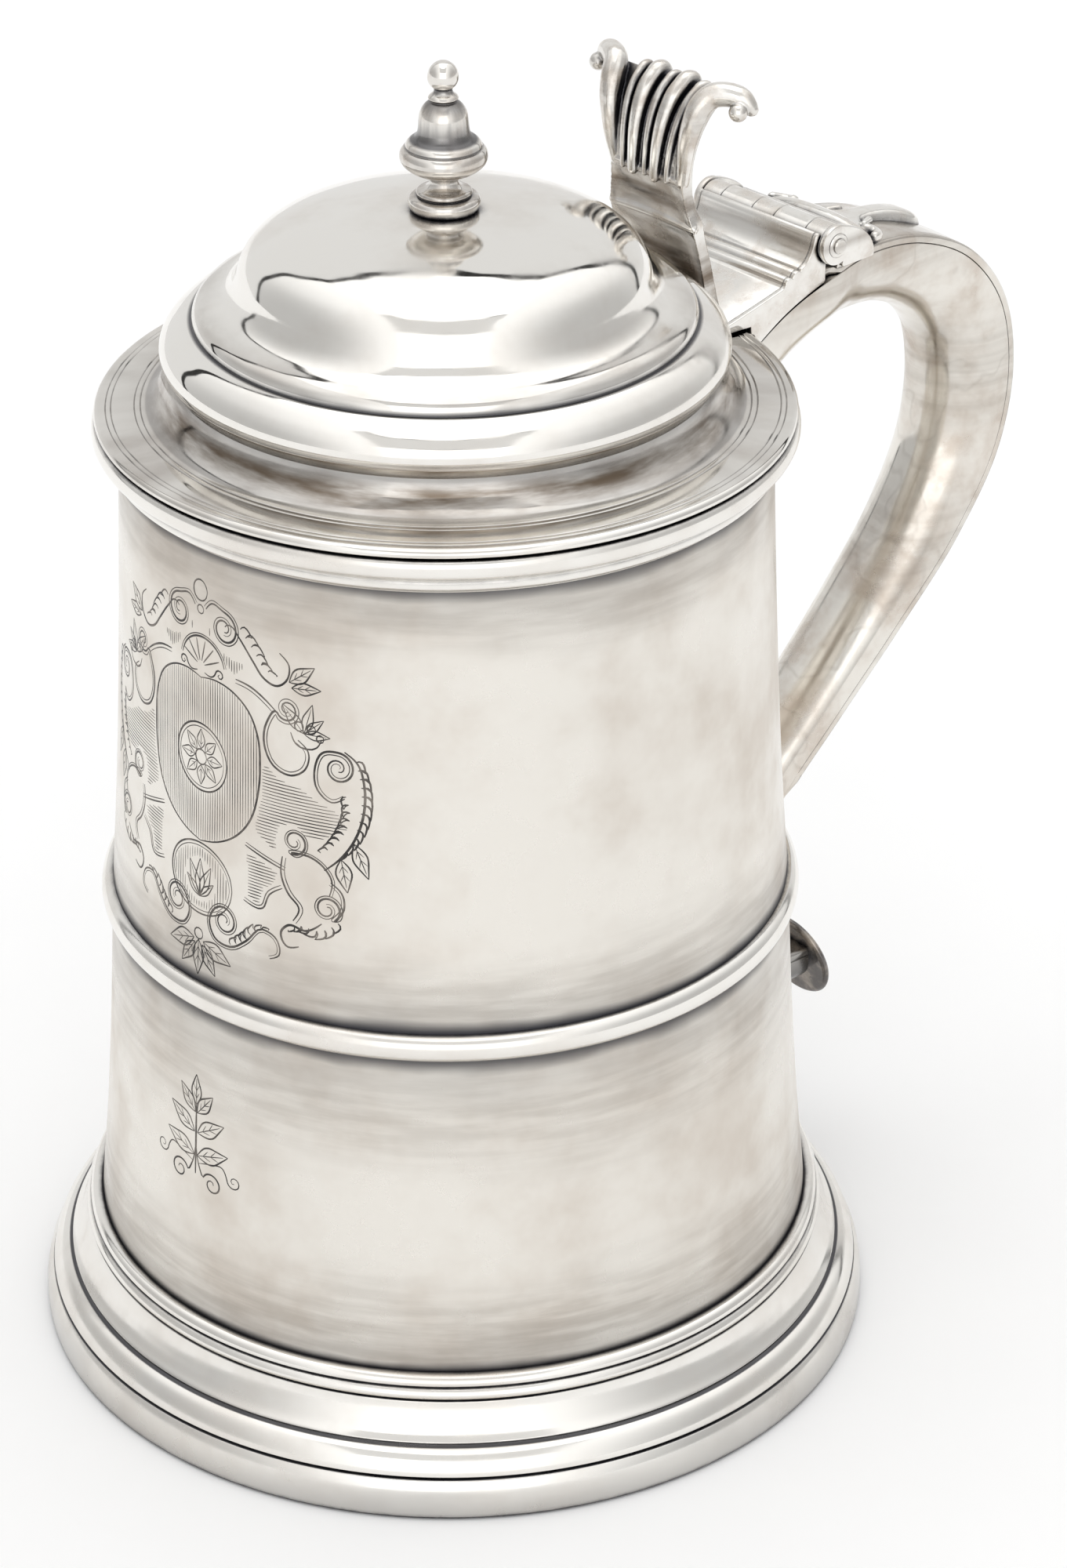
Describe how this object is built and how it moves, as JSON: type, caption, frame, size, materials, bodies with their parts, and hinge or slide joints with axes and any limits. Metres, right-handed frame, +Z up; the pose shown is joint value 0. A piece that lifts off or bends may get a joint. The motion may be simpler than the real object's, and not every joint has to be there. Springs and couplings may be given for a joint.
{
  "type": "lidded tankard",
  "caption": "Straight-sided lidded drinking tankard with a moulded foot, stepped domed lid with finial, hinge with scroll thumbpiece, and scroll handle.",
  "frame": {"origin": "on the surface the foot stands on, under the middle of the whole tankard's extent; the drum's own axis is at X -0.0255", "axes": "+Z up through the drum, +X towards the handle, the engraved front faces -X"},
  "size_m": [0.1833, 0.132, 0.2079],
  "materials": {
    "silver_satin": "hand-burnished silver, softened by fine scratches and a warm tarnish",
    "silver_bright": "polished silver",
    "silver_oxidised": "cast silver with dark oxidation in its hollows"
  },
  "bodies": {
    "mug": {"body_wall": "silver_satin", "body_floor": "silver_satin", "foot_moulding": "silver_bright", "mid_band": "silver_bright", "lip_moulding": "silver_bright", "handle_trough": "silver_satin", "handle_back_strip": "silver_satin", "handle_terminal": "silver_oxidised", "hinge_block": "silver_bright", "hinge_drop": "silver_oxidised", "hinge_cheek_near": "silver_bright", "hinge_cheek_far": "silver_bright", "hinge_pin": "silver_bright", "handle_knuckle_far": "silver_bright", "handle_knuckle_near": "silver_bright"},
    "lid": {"lid_cover": "silver_bright", "lid_bezel": "silver_bright", "finial": "silver_oxidised", "lid_hinge_plate": "silver_bright", "thumbpiece": "silver_oxidised", "lid_knuckle_far": "silver_bright", "lid_knuckle_middle": "silver_bright", "lid_knuckle_near": "silver_bright"}
  },
  "joints": [
    {"name": "lid_hinge", "type": "hinge", "parent": "mug", "child": "lid", "pos_m": [0.0425, 0, 0.165], "axis": [0, 1, 0], "range_deg": [0, 135]}
  ]
}
